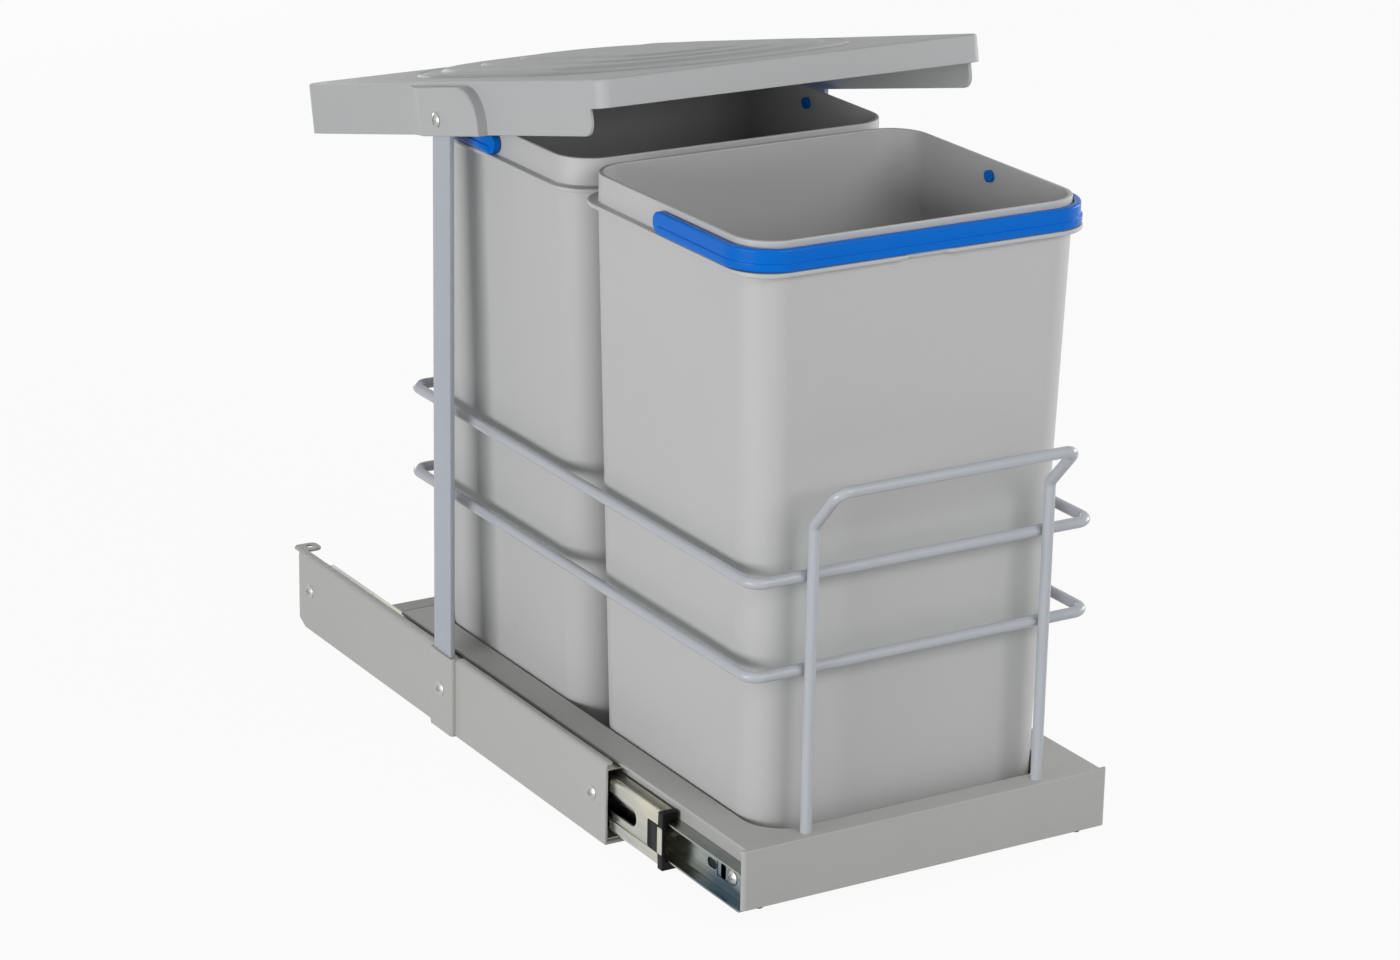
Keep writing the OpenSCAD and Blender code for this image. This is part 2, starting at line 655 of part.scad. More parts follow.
// one closed ring of wire at a height
module ring(z) {
    mid_y = (ring_y0 + ring_y1) / 2;
    half_y = (ring_y1 - ring_y0) / 2;
    for (y = [ring_y0, ring_y1]) rod_x(-ring_x + ring_r, ring_x - ring_r, y, z, wire_d);
    for (x = [-ring_x, ring_x]) rod_y(ring_y0 + ring_r, ring_y1 - ring_r, x, z, wire_d);
    for (sx = [0, 1], sy = [0, 1])
        translate([0, mid_y, z]) mirror([sx, 0, 0]) mirror([0, sy, 0])
            translate([ring_x - ring_r, half_y - ring_r, 0])
                rotate_extrude(angle = 90, $fn = 96) translate([ring_r, 0]) circle(d = wire_d, $fn = 48);
}
module upper_ring() color([0.66, 0.67, 0.72]) ring(ring_high_z);
module lower_ring() color([0.66, 0.67, 0.72]) ring(ring_low_z);

// Rear stay: an upside-down U of wire behind the bins that carries the rings.
module rear_stay() color([0.66, 0.67, 0.72])
    translate([0, stay_y, tray_top]) wire_arch(stay_span / 2, ring_high_z + stay_over - tray_top, grip_r);

// the tapered body of a bin, smaller by a wall all round
module bin_body(wall, z0) {
    hull() {
        slab(-collar_x + bin_taper_x + wall, -collar_y + bin_taper_y + wall,
            collar_x - bin_taper_x - wall, collar_y - bin_taper_y - wall, collar_r - 3 - wall, z0, z0 + 0.01);
        slab(-collar_x + wall, -collar_y + wall, collar_x - wall, collar_y - wall, collar_r - wall,
            ledge_z - 0.01, ledge_z);
    }
}

// one bin about its own middle: tapered body, ledge, collar, thumb notch and pin holes
module bin() {
    difference() {
        union() {
            bin_body(0, bin_z);
            slab(-bin_w / 2, -bin_d / 2, bin_w / 2, bin_d / 2, bin_r, ledge_z - ledge_t, ledge_z);
            slab(-collar_x, -collar_y, collar_x, collar_y, collar_r, ledge_z - 1, ledge_z + collar_h);
        }
        bin_body(bin_t, bin_z + bin_t);
        slab(-collar_x + bin_t, -collar_y + bin_t, collar_x - bin_t, collar_y - bin_t, collar_r - bin_t,
            ledge_z - 0.5, ledge_z + collar_h + 1);
        box([-thumb_w / 2, -bin_d / 2 - 1, ledge_z - ledge_t - 1], [thumb_w / 2, -bin_d / 2 + 1.6, ledge_z + 1]);
        rod_x(-collar_x - 1, -collar_x + bin_t + 1, 0, pin_z, pin_d + 2 * turn_play);
        rod_x(collar_x - bin_t - 1, collar_x + 1, 0, pin_z, pin_d + 2 * turn_play);
    }
}
module front_bin() color([0.66, 0.66, 0.64]) translate([0, bin_front_y, 0]) bin();
module rear_bin() color([0.66, 0.66, 0.64]) translate([0, bin_rear_y, 0]) mirror([0, 1, 0]) bin();

// one bail handle about its bin's middle: a band round the front half, a lower bead and two pins
module bail() {
    in_x = collar_x + band_gap;
    in_y = collar_y + band_gap;
    in_r = collar_r + band_gap;
    z0 = ledge_z + band_rest;
    bead_x = in_x + band_t + bead_out;
    bead_y = in_y + band_t + bead_out;
    difference() {
        union() {
            slab(-in_x - band_t, -in_y - band_t, in_x + band_t, in_y + band_t, in_r + band_t, z0, z0 + band_h);
            slab(-bead_x, -bead_y, bead_x, bead_y, in_r + band_t + bead_out, z0, z0 + bead_h);
        }
        slab(-in_x, -in_y, in_x, in_y, in_r, z0 - 1, z0 + band_h + 1);
        box([-bin_w, 0, z0 - 1], [bin_w, bin_d, z0 + band_h + 1]);
    }
    for (s = [0, 1]) mirror([s, 0, 0]) {
        rod_x(in_x, in_x + band_t, 0, pin_z, band_h);
        rod_x(collar_x - bin_t - 1, in_x + 0.5, 0, pin_z, pin_d);
        rod_x(collar_x - bin_t - 2.6, collar_x - bin_t - 0.3, 0, pin_z, pin_d + 1.6);
    }
}
module front_bin_handle() color([0.02, 0.25, 0.75]) translate([0, bin_front_y, 0]) bail();
// the rear bin stands turned about, with its handle to the rear
module rear_bin_handle() color([0.02, 0.25, 0.75]) translate([0, bin_rear_y, 0]) mirror([0, 1, 0]) bail();

// side view of the pivot boss, smaller by an inset; its upper front corner is round
module boss_side(inset, low) {
    r = boss_r - inset;
    y0 = -boss_front + inset;
    y1 = boss_rear;
    z1 = lid_up - boss_drop - inset;
    intersection() {
        translate([y0, low]) square([y1 - y0, z1 - low]);
        union() {
            translate([y0, low - boss_r]) square([y1 - y0, z1 - r - low + boss_r]);
            translate([y0 + r, low]) square([y1 - y0 - r, z1 - low]);
            translate([y0 + r, z1 - r]) circle(r = r, $fn = 64);
        }
    }
}

// plan of the pivot boss: flat past the upright, then running out into the skirt
module boss_plan() {
    slope = (boss_rear - boss_flat) / (boss_x - lid_x);
    polygon([[lid_x - lid_t, -boss_front - 1], [boss_x + 1, -boss_front - 1], [boss_x + 1, boss_flat - slope],
        [lid_x, boss_rear], [lid_x - lid_t, boss_rear]]);
}

// the lid level, about its pivot
module lid_level() {
    difference() {
        union() {
            difference() {
                slab(-lid_x, -lid_front, lid_x, lid_rear, 7, -lid_down, lid_up);
                slab(-lid_x + lid_t, -lid_front + lid_t, lid_x - lid_t, lid_rear - lid_t, 5,
                    -lid_down - 1, lid_up - lid_t);
                box([-lid_x - 1, -lid_front - 1, -lid_down - 1],
                    [lid_x + 1, -lid_front + lid_notch, lid_up - lid_front_skirt]);
                translate([-lid_x - 1, -lid_front + lid_notch, -lid_down]) rotate([90, 0, 90])
                    linear_extrude(height = lid_w + 2) difference() {
                        translate([-1, -1]) square([lid_notch_r + 1, lid_notch_r + 1]);
                        translate([lid_notch_r, lid_notch_r]) circle(r = lid_notch_r, $fn = 48);
                    }
            }
            for (s = [0, 1]) mirror([s, 0, 0]) difference() {
                intersection() {
                    translate([lid_x - lid_t / 2, 0, 0]) rotate([90, 0, 90])
                        linear_extrude(height = boss_x - lid_x + lid_t / 2) boss_side(0, -lid_down);
                    translate([0, 0, -lid_down - 1]) linear_extrude(height = lid_up + lid_down + 2) boss_plan();
                }
                intersection() {
                    translate([lid_x, 0, 0]) rotate([90, 0, 90])
                        linear_extrude(height = boss_in - lid_x) boss_side(lid_t, -lid_down - 1);
                    box([lid_x - 1, -boss_front, -lid_down - 2], [boss_x + 1, boss_flat, lid_up]);
                }
            }
            // raised oval field and its ridges
            slab(-field_x, field_y0, field_x, field_y1, field_x - 1, lid_up - lid_t / 2, lid_up + field_h);
            for (k = [0.75, 1.75, 2.75]) {
                at = k * ridge_step;
                difference() {
                    slab(-field_x + at, field_y0 + at, field_x - at, field_y1 - at, field_x - 2 - at,
                        lid_up, lid_up + ridge_h);
                    slab(-field_x + at + ridge_w, field_y0 + at + ridge_w, field_x - at - ridge_w,
                        field_y1 - at - ridge_w, field_x - 2 - at - ridge_w, lid_up - 1, lid_up + ridge_h + 1);
                }
            }
        }
        rod_x(-boss_x - 1, -lid_x + lid_t + 1, 0, 0, screw_d + 2 * turn_play);
        rod_x(lid_x - lid_t - 1, boss_x + 1, 0, 0, screw_d + 2 * turn_play);
    }
}

// Lid: one moulding that hangs on the pivot screws, tilted front up as photographed.
module lid() color([0.64, 0.64, 0.62]) translate([0, 0, pivot_h]) rotate([-lid_tilt, 0, 0]) lid_level();

left_side_plate();
right_side_plate();
rear_tie();
left_upright();
right_upright();
left_outer_rail();
right_outer_rail();
plate_screws();
upright_screws();
lid_pivot_screws();
lid();
left_middle_rail();
right_middle_rail();
left_middle_end();
right_middle_end();
left_outer_cage();
right_outer_cage();
left_inner_cage();
right_inner_cage();
tray();
tray_feet();
left_inner_rail();
right_inner_rail();
inner_rail_screws();
pull_handle();
upper_ring();
lower_ring();
rear_stay();
front_bin();
rear_bin();
front_bin_handle();
rear_bin_handle();
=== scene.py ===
# Pull-out bin frame: two bins in a sliding tray, a wire guard, and a tilting lid on flat uprights.
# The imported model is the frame; this file gives it its finished shapes, materials, light and camera.
import json
import math
import bmesh
import bpy
from mathutils import Matrix, Quaternion, Vector


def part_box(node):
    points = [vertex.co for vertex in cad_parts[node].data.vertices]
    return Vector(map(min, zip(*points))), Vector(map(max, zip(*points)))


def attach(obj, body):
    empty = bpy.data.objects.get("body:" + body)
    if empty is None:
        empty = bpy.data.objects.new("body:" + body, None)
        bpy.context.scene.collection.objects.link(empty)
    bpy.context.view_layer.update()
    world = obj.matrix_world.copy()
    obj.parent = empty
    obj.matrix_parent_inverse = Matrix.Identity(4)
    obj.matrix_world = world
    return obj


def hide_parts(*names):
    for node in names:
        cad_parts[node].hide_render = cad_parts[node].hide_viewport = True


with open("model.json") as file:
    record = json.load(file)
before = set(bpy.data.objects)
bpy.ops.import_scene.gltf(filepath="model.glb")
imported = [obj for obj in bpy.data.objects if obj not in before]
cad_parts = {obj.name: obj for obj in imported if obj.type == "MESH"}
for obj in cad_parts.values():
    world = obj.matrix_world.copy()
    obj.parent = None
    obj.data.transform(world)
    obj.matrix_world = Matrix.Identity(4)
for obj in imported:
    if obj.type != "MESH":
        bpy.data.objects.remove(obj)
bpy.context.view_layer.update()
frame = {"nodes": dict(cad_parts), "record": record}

MM = 0.001


# Side plates and rear tie: folded steel sheet with a satin grey powder coat. Each plate has a floor
# flange, a lip turned in over the slide and a pressed pocket; the folds are softly rounded.
class Tone:
    """A shader value that takes part in sums."""

    def __init__(self, finish, socket):
        self.finish = finish
        self.socket = socket

    def sum(self, operation, first, second):
        return self.finish.node("ShaderNodeMath", {"operation": operation}, {0: first, 1: second})

    def __add__(self, other):
        return self.sum("ADD", self, other)

    __radd__ = __add__

    def __sub__(self, other):
        return self.sum("SUBTRACT", self, other)

    def __rsub__(self, other):
        return self.sum("SUBTRACT", other, self)

    def __mul__(self, other):
        return self.sum("MULTIPLY", self, other)

    __rmul__ = __mul__


class Finish:
    """A node material on the Principled shader."""

    def __init__(self, name, **constants):
        self.material = bpy.data.materials.new(name)
        self.material.use_nodes = True
        self.tree = self.material.node_tree
        self.shader = self.tree.nodes["Principled BSDF"]
        for socket, value in constants.items():
            self.shader.inputs[socket.replace("_", " ")].default_value = value

    def node(self, kind, settings=None, inputs=None, out=0):
        node = self.tree.nodes.new(kind)
        for key, value in (settings or {}).items():
            setattr(node, key, value)
        for key, value in (inputs or {}).items():
            if isinstance(value, Tone):
                self.tree.links.new(value.socket, node.inputs[key])
            else:
                node.inputs[key].default_value = value
        return Tone(self, node.outputs[out])

    def place(self, stretch=(1, 1, 1)):
        here = self.node("ShaderNodeTexCoord", out="Object")
        return self.node("ShaderNodeMapping", {}, {"Vector": here, "Scale": stretch})

    def noise(self, scale, detail=2, stretch=(1, 1, 1), roughness=0.5):
        return self.node("ShaderNodeTexNoise", {}, {"Vector": self.place(stretch), "Scale": scale,
                                                    "Detail": detail, "Roughness": roughness})

    def blend(self, factor, first, second):
        colours = {0: factor, 6: (*first, 1), 7: (*second, 1)}
        return self.node("ShaderNodeMix", {"data_type": "RGBA"}, colours, out=2)

    def bump(self, height, distance):
        return self.node("ShaderNodeBump", {}, {"Height": height, "Distance": distance, "Strength": 1.0})

    def feed(self, **sockets):
        for socket, tone in sockets.items():
            self.tree.links.new(tone.socket, self.shader.inputs[socket.replace("_", " ")])
        return self.material


def powder_coat(name, dark, light, rough, grain, depth):
    """Sprayed and baked paint: a fine orange-peel skin and a slight drift of tone."""
    coat = Finish(name, Specular_IOR_Level=0.4)
    drift = coat.noise(9, 3)
    skin = coat.noise(grain, 2)
    return coat.feed(Base_Color=coat.blend(drift, dark, light), Roughness=rough + 0.12 * (drift - 0.5),
                     Normal=coat.bump(skin, depth))


def deselect():
    if bpy.context.object and bpy.context.object.mode != "OBJECT":
        bpy.ops.object.mode_set(mode="OBJECT")
    bpy.ops.object.select_all(action="DESELECT")


def use(piece):
    deselect()
    piece.select_set(True)
    bpy.context.view_layer.objects.active = piece


def modify(piece, kind, **settings):
    use(piece)
    modifier = piece.modifiers.new(kind, kind)
    for key, value in settings.items():
        setattr(modifier, key, value)
    bpy.ops.object.modifier_apply(modifier=modifier.name)


def soften(piece, width, segments, angle=35):
    """Rounds the sharp edges and keeps the flats flat."""
    if width:
        modify(piece, "BEVEL", width=width, segments=segments, limit_method="ANGLE",
               angle_limit=math.radians(angle), use_clamp_overlap=False, loop_slide=False)
    use(piece)
    bpy.ops.object.shade_smooth_by_angle(angle=math.radians(angle))
    modify(piece, "WEIGHTED_NORMAL", mode="FACE_AREA_WITH_ANGLE", keep_sharp=True)


def body_of(node):
    bodies = frame["record"]["behaviour"]["bodies"]
    return next(body for body, nodes in bodies.items() if node in nodes)


def finish_piece(piece, node, material):
    """Gives the piece its material and lets it stand for the node."""
    piece.data.materials.clear()
    piece.data.materials.append(material)
    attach(piece, body_of(node))
    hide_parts(node)


def merged(node):
    """A copy of a node with its split corners joined again."""
    source = frame["nodes"][node]
    piece = source.copy()
    piece.data = source.data.copy()
    piece.parent = None
    piece.matrix_world = source.matrix_world
    piece.name = node + "_finished"
    bpy.context.scene.collection.objects.link(piece)
    use(piece)
    bpy.ops.mesh.customdata_custom_splitnormals_clear()
    bpy.ops.object.mode_set(mode="EDIT")
    bpy.ops.mesh.select_all(action="SELECT")
    bpy.ops.mesh.remove_doubles(threshold=0.002 * MM)
    deselect()
    return piece


def dressed(node, material, width):
    """A merged copy of a node with rounded edges, which stands for the node."""
    piece = merged(node)
    soften(piece, width, 2)
    finish_piece(piece, node, material)


def paint_node(node, material):
    """Gives a node whose shape is right its material."""
    mesh = frame["nodes"][node].data
    mesh.materials.clear()
    mesh.materials.append(material)


def pick(piece, wanted, kind):
    """Selects the vertices, edges or faces of a piece in edit mode that a test names."""
    use(piece)
    bpy.ops.object.mode_set(mode="EDIT")
    bpy.ops.mesh.select_all(action="DESELECT")
    bpy.ops.mesh.select_mode(type=kind)
    mesh = bmesh.from_edit_mesh(piece.data)
    items = {"VERT": mesh.verts, "EDGE": mesh.edges, "FACE": mesh.faces}[kind]
    for item in items:
        if wanted(item):
            item.select_set(True)
    mesh.select_flush_mode()
    bmesh.update_edit_mesh(piece.data)


def round_edges(radius, segments, **settings):
    """Rounds the selected edges and leaves edit mode."""
    bpy.ops.mesh.bevel(offset=radius, offset_type="OFFSET", segments=segments, profile=0.5, affect="EDGES",
                       **settings)
    deselect()


plate_coat = powder_coat("plate_coat", (0.42, 0.42, 0.405), (0.47, 0.47, 0.455), 0.46, 900, 0.00006)
PLATE_EDGE = 0.4 * MM
TIE_EDGE = 0.3 * MM
PLATE_REAR_Y = 190 * MM
CUT_LENGTH = 8 * MM
CUT_HEIGHT = 4 * MM
POCKET_HALF_LENGTH = 13.5 * MM
POCKET_ROUND = 2.2 * MM
FLAT_ANGLE = math.radians(0.5)
NEAR = 0.1 * MM
BEND_SEGMENTS = 6


def round_pocket(plate, face_x):
    """Rounds the two upright edges of the pressed pocket that holds the flat bar."""
    def on_corner(vertex):
        at_face = abs(abs(vertex.co.x) - face_x) < NEAR
        return at_face and abs(abs(vertex.co.y) - POCKET_HALF_LENGTH) < NEAR

    def upright(edge):
        first, second = edge.verts
        return on_corner(first) and on_corner(second) and first.co.y * second.co.y > 0

    pick(plate, lambda face: True, "FACE")
    bpy.ops.mesh.dissolve_limited(angle_limit=FLAT_ANGLE)
    pick(plate, upright, "EDGE")
    round_edges(POCKET_ROUND, BEND_SEGMENTS)


def cut_corner(plate):
    """Cuts the lower rear corner of the folded sheet at an angle."""
    pick(plate, lambda face: True, "FACE")
    start = (0, PLATE_REAR_Y - CUT_LENGTH, 0)
    slope = (0, CUT_HEIGHT / CUT_LENGTH, -1)
    bpy.ops.mesh.bisect(plane_co=start, plane_no=slope, use_fill=True, clear_outer=True)
    deselect()


for side in ("left", "right"):
    node = side + "_side_plate"
    plate = merged(node)
    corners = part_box(node)
    cut_corner(plate)
    round_pocket(plate, max(abs(corner[0]) for corner in corners))
    soften(plate, PLATE_EDGE, 2)
    finish_piece(plate, node, plate_coat)
dressed("rear_tie", plate_coat, TIE_EDGE)


# Uprights: 20 x 3 mm steel flat bar with a round head, cool grey semi-gloss powder coat with a fine
# texture, screwed into the pockets of the side plates.
upright_coat = powder_coat("upright_coat", (0.37, 0.395, 0.45), (0.43, 0.455, 0.51), 0.36, 650, 0.00012)
UPRIGHT_EDGE = 0.5 * MM
for side in ("left", "right"):
    dressed(side + "_upright", upright_coat, UPRIGHT_EDGE)


# Slides: three-part ball-bearing rails of zinc-plated strip, rolled to section and pierced. The strip
# has fine rolling lines along its length, and a slight yellow cast.
def zinc_plate(name, dark, light, rough):
    """Bright plating with clouds of tone and fine lines along the strip."""
    zinc = Finish(name, Metallic=1.0)
    rolled = zinc.noise(700, 3, stretch=(1, 0.02, 1))
    clouds = zinc.noise(26, 3, stretch=(1, 0.6, 1))
    mottle = 0.8 * clouds + 0.2 * rolled
    share = zinc.node("ShaderNodeMapRange", {}, {"Value": mottle, "From Min": 0.36, "From Max": 0.64})
    tone = zinc.blend(share, dark, light)
    return zinc.feed(Base_Color=tone, Roughness=rough + 0.18 * (rolled - 0.5) + 0.1 * (clouds - 0.5),
                     Normal=zinc.bump(rolled, 0.00004))


bright_zinc = zinc_plate("bright_zinc", (0.36, 0.39, 0.4), (0.64, 0.61, 0.5), 0.28)
ball_steel = zinc_plate("ball_steel", (0.5, 0.5, 0.5), (0.66, 0.66, 0.67), 0.2)
RAIL_EDGE = 0.3 * MM
for side in ("left", "right"):
    dressed(side + "_outer_rail", bright_zinc, RAIL_EDGE)
    dressed(side + "_middle_rail", bright_zinc, RAIL_EDGE)
    paint_node(side + "_outer_cage", ball_steel)
    paint_node(side + "_inner_cage", ball_steel)


# Rails on the tray: the inner members of the slides, of the same strip with a bluer plating and screwed to
# the tray. The web is closed up beside the front screw and pierced by a tall and a long slot.
RAIL_Z = 22.1 * MM
WEB_X = (106 * MM, 107.2 * MM)
PATCH_Y = (-289.4 * MM, -277.9 * MM)
PATCH_HALF_H = 4.2 * MM
# each slot: its middle along the rail, its length and its height
TALL_SLOT = (-283.7 * MM, 4.4 * MM, 8 * MM)
LONG_SLOT = (-272.2 * MM, 9 * MM, 5 * MM)
SLOT_ROUND = 1.7 * MM
blue_zinc = zinc_plate("blue_zinc", (0.16, 0.22, 0.26), (0.5, 0.48, 0.4), 0.24)


def block(name, low, high):
    """A box between two corners, as a start for shaping."""
    deselect()
    bpy.ops.mesh.primitive_cube_add(size=1, location=[(low[i] + high[i]) / 2 for i in range(3)])
    piece = bpy.context.object
    piece.name = name
    piece.scale = [high[i] - low[i] for i in range(3)]
    bpy.ops.object.transform_apply(location=True, rotation=True, scale=True)
    return piece


def round_across(piece, radius):
    """Rounds the edges of a block that run across the part."""
    pick(piece, lambda edge: abs(edge.verts[0].co.x - edge.verts[1].co.x) > NEAR, "EDGE")
    round_edges(radius, BEND_SEGMENTS)


def carve(piece, tool, operation="DIFFERENCE"):
    """Takes a block out of a piece or joins it on, and removes the block."""
    modify(piece, "BOOLEAN", operation=operation, object=tool, solver="EXACT")
    bpy.data.objects.remove(tool)


def slot_block(name, way, depth, slot, spare):
    """A rounded block in the shape of a slot, smaller by some room to spare all round."""
    across = sorted(way * x for x in depth)
    middle, length, height = slot
    low = (across[0], middle - length / 2 + spare, RAIL_Z - height / 2 + spare)
    high = (across[1], middle + length / 2 - spare, RAIL_Z + height / 2 - spare)
    piece = block(name, low, high)
    round_across(piece, SLOT_ROUND)
    return piece


for side, way in (("left", -1), ("right", 1)):
    rail = merged(side + "_inner_rail")
    across = sorted(way * x for x in WEB_X)
    low = (across[0], PATCH_Y[0], RAIL_Z - PATCH_HALF_H)
    high = (across[1], PATCH_Y[1], RAIL_Z + PATCH_HALF_H)
    carve(rail, block("patch", low, high), "UNION")
    carve(rail, slot_block("slot", way, (WEB_X[0] - MM, WEB_X[1] + MM), TALL_SLOT, 0))
    soften(rail, RAIL_EDGE, 2)
    finish_piece(rail, side + "_inner_rail", blue_zinc)


# Black moulded pieces: the end pieces of the slides are clipped on the middle rails, and the plugs are
# pressed into the underside of the tray. Both are hard black plastic with a dull skin.
def moulded(name, dark, light, rough, grain, depth, shine=0.5):
    """Injection-moulded plastic with a fine spark-eroded grain."""
    plastic = Finish(name, Specular_IOR_Level=shine)
    flow = plastic.noise(6, 2)
    skin = plastic.noise(grain, 3, roughness=0.6)
    return plastic.feed(Base_Color=plastic.blend(flow, dark, light), Roughness=rough + 0.1 * (skin - 0.5),
                        Normal=plastic.bump(skin, depth))


black_plastic = moulded("black_plastic", (0.004, 0.004, 0.005), (0.009, 0.009, 0.01), 0.42, 800, 0.00004,
                        shine=0.14)
END_EDGE = 0.4 * MM
FOOT_EDGE = 0.3 * MM
for side in ("left", "right"):
    dressed(side + "_middle_end", black_plastic, END_EDGE)
dressed("tray_feet", black_plastic, FOOT_EDGE)


# Rail catches: a narrow zinc strap is folded over the end piece of each middle rail, and behind it a black
# catch lever with a sunk face lies in the recess of the web. Thin black sheets at the bottom of the slots in
# the rails on the tray are painted shade, standing in for the dark hollow behind the slots.
RAIL_FACE_X = 116.6 * MM
RAIL_END_Y = -233.5 * MM
CATCH_HALF_H = 7.5 * MM
TRIM_EDGE = 0.1 * MM
# thickness of the black sheets of painted shade behind the slots, and the room they leave all round
SHADE_SHEET_T = 0.4 * MM
SHADE_SHEET_SPARE = 0.1 * MM
STRAP_DEPTH = (0.2 * MM, 0.55 * MM)
STRAP_REACH = (-4.4 * MM, 0.3 * MM)
STRAP_ROUND = 1 * MM
LEVER_DEPTH = (-1.1 * MM, -0.05 * MM)
LEVER_REACH = (4.8 * MM, 11.5 * MM)
LEVER_RIM = 1.4 * MM
LEVER_SUNK = 0.6 * MM


def rail_block(name, way, depth, reach):
    """A block on a middle rail: its depth from the rail's face outwards and its reach from the rail's end."""
    across = sorted(way * (RAIL_FACE_X + step) for step in depth)
    low = (across[0], RAIL_END_Y + reach[0], RAIL_Z - CATCH_HALF_H)
    high = (across[1], RAIL_END_Y + reach[1], RAIL_Z + CATCH_HALF_H)
    return block(name, low, high)


def fit_trim(piece, carrier, material):
    """Fixes a small piece to the node that carries it, with the finish of a like node."""
    soften(piece, TRIM_EDGE, 2)
    piece.data.materials.append(material)
    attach(piece, body_of(carrier))


for side, way in (("left", -1), ("right", 1)):
    # black sheets at the bottom of the long and the tall slot: painted shade that makes the slots look like a
    # dark hollow
    shade_sheet_depth = (WEB_X[0], WEB_X[0] + SHADE_SHEET_T)
    shade_sheet = slot_block(side + "_slot_shade_sheet", way, shade_sheet_depth, LONG_SLOT, SHADE_SHEET_SPARE)
    tall = slot_block("tall_slot_shade_sheet", way, shade_sheet_depth, TALL_SLOT, SHADE_SHEET_SPARE)
    use(shade_sheet)
    tall.select_set(True)
    bpy.ops.object.join()
    fit_trim(shade_sheet, side + "_inner_rail", black_plastic)
    strap = rail_block(side + "_end_strap", way, STRAP_DEPTH, STRAP_REACH)
    round_across(strap, STRAP_ROUND)
    fit_trim(strap, side + "_middle_rail", bright_zinc)
    lever = rail_block(side + "_catch_lever", way, LEVER_DEPTH, LEVER_REACH)
    pick(lever, lambda face: face.normal.x * way > 0.9, "FACE")
    bpy.ops.mesh.inset(thickness=LEVER_RIM, depth=-LEVER_SUNK)
    deselect()
    fit_trim(lever, side + "_middle_end", black_plastic)


# Screws: zinc-plated steel pan heads with a cross recess. They hold the slides and uprights to the plates
# and the inner rails to the tray, and the lid turns on two of them.
screw_zinc = zinc_plate("screw_zinc", (0.4, 0.4, 0.39), (0.58, 0.58, 0.56), 0.34)
SCREW_EDGE = 0.15 * MM
for node in ("plate_screws", "upright_screws", "lid_pivot_screws", "inner_rail_screws"):
    dressed(node, screw_zinc, SCREW_EDGE)


# Tray: folded steel sheet with a satin grey powder coat. Its edge stands out over the slides, a gap is left
# beside the lips of the plates, and a round-cornered well takes the two bins.
tray_coat = powder_coat("tray_coat", (0.40, 0.40, 0.385), (0.45, 0.45, 0.435), 0.42, 900, 0.00006)
TRAY_EDGE_X = 110.5 * MM
TRAY_SIDE_X = 115 * MM
TRAY_PANEL_Y = -309.6 * MM
TRAY_END_Y = 75 * MM
TRAY_TOP_Z = 45.3 * MM
STRIP_DEEP = 4 * MM
TRAY_EDGE = 0.5 * MM
tray = merged("tray")
for inside, outside in ((TRAY_EDGE_X, TRAY_SIDE_X), (-TRAY_SIDE_X, -TRAY_EDGE_X)):
    low = (inside, TRAY_PANEL_Y, TRAY_TOP_Z - STRIP_DEEP)
    high = (outside, TRAY_END_Y, TRAY_TOP_Z + MM)
    carve(tray, block("strip", low, high))
soften(tray, TRAY_EDGE, 3)
finish_piece(tray, "tray", tray_coat)


# Wire guard: 6 mm rod, bent tight and welded, with a cool grey semi-gloss coat. The pull handle leans
# forward, two rings go round the bins and a stay carries the rings at the rear.
wire_coat = powder_coat("wire_coat", (0.42, 0.44, 0.48), (0.47, 0.49, 0.53), 0.22, 500, 0.00004)
WIRE_R = 3 * MM
RING_BEND = 8 * MM
LEG_BEND = 6 * MM
GRIP_BEND = 7 * MM
GRIP_X = 72 * MM
LEG_Y = -305.6 * MM
GRIP_Y = -327.1 * MM
LEG_Z = 45.1 * MM
BEND_Z = 211.3 * MM
GRIP_Z = 234.8 * MM
BEND_STEPS = 10
WIRE_STEPS = 10


def bend(before, corner, after, radius):
    """Points along the arc that rounds a corner of a wire."""
    first = (Vector(before) - Vector(corner)).normalized()
    second = (Vector(after) - Vector(corner)).normalized()
    half = first.angle(second) / 2
    centre = Vector(corner) + (first + second).normalized() * radius / math.sin(half)
    start = (Vector(corner) + first * radius / math.tan(half) - centre).normalized()
    end = (Vector(corner) + second * radius / math.tan(half) - centre).normalized()
    return [centre + start.slerp(end, step / BEND_STEPS) * radius for step in range(BEND_STEPS + 1)]


def bent_wire(node, corners, closed):
    """A rod along a path of corners, each with its bend radius, which stands for the node."""
    path = []
    for i, (corner, radius) in enumerate(corners):
        if radius:
            path += bend(corners[i - 1][0], corner, corners[(i + 1) % len(corners)][0], radius)
        else:
            path.append(corner)
    shape = bpy.data.curves.new(node + "_wire", "CURVE")
    shape.dimensions = "3D"
    shape.bevel_depth = WIRE_R
    shape.bevel_resolution = WIRE_STEPS
    shape.use_fill_caps = True
    line = shape.splines.new("POLY")
    line.use_cyclic_u = closed
    line.points.add(len(path) - 1)
    for point, place in zip(line.points, path):
        point.co = (*place, 1)
    piece = bpy.data.objects.new(node + "_wire", shape)
    bpy.context.scene.collection.objects.link(piece)
    use(piece)
    bpy.ops.object.convert(target="MESH")
    piece = bpy.context.object
    soften(piece, 0, 0)
    finish_piece(piece, node, wire_coat)


